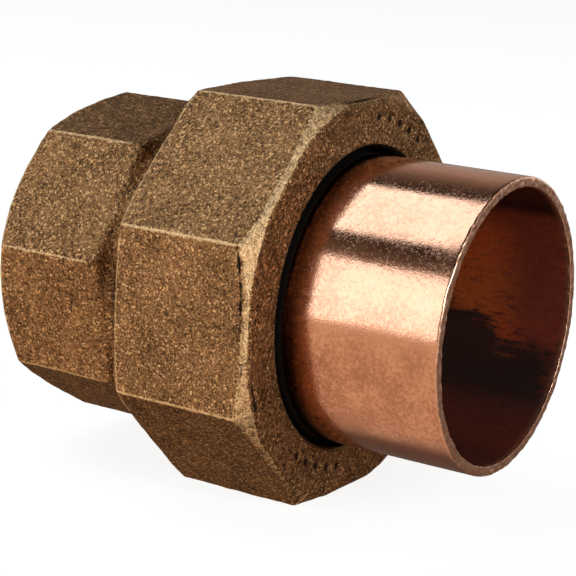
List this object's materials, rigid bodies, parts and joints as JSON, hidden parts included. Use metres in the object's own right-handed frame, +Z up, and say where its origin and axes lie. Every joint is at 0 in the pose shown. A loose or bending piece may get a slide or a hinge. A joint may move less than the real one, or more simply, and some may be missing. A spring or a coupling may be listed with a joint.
{
  "type": "pipe union",
  "caption": "Bronze and copper ground-joint pipe union with octagonal nut and solder cups for 1 inch copper tube.",
  "frame": {"origin": "centre of the mouth of the threaded piece's solder cup, on the fitting's axis", "axes": "+X along the fitting's axis from the threaded piece to the copper tailpiece's mouth, +Z up, one flat of the nut facing -Z"},
  "size_m": [0.053, 0.0424, 0.0424],
  "materials": {
    "cast_bronze_body": "tumbled sand casting, machined thread and seat",
    "cast_bronze_nut": "tumbled sand casting, faced front",
    "wrot_copper": "drawn and polished copper"
  },
  "bodies": {
    "threaded_piece": {"threaded_piece": "cast_bronze_body"},
    "tailpiece": {"copper_tailpiece": "wrot_copper"},
    "nut": {"union_nut": "cast_bronze_nut"}
  },
  "joints": [
    {"name": "tail_draw", "type": "slide", "parent": "threaded_piece", "child": "tailpiece", "axis": [1, 0, 0], "range_m": [0, 0.00816]},
    {"name": "nut_turn", "type": "hinge", "parent": "tailpiece", "child": "nut", "pos_m": [0.0268, 0, 0], "axis": [1, 0, 0], "range_deg": [0, 1620]}
  ],
  "couplings": [
    {"joint": "tail_draw", "follows": "nut_turn", "m_per_rad": 0.00028875}
  ]
}
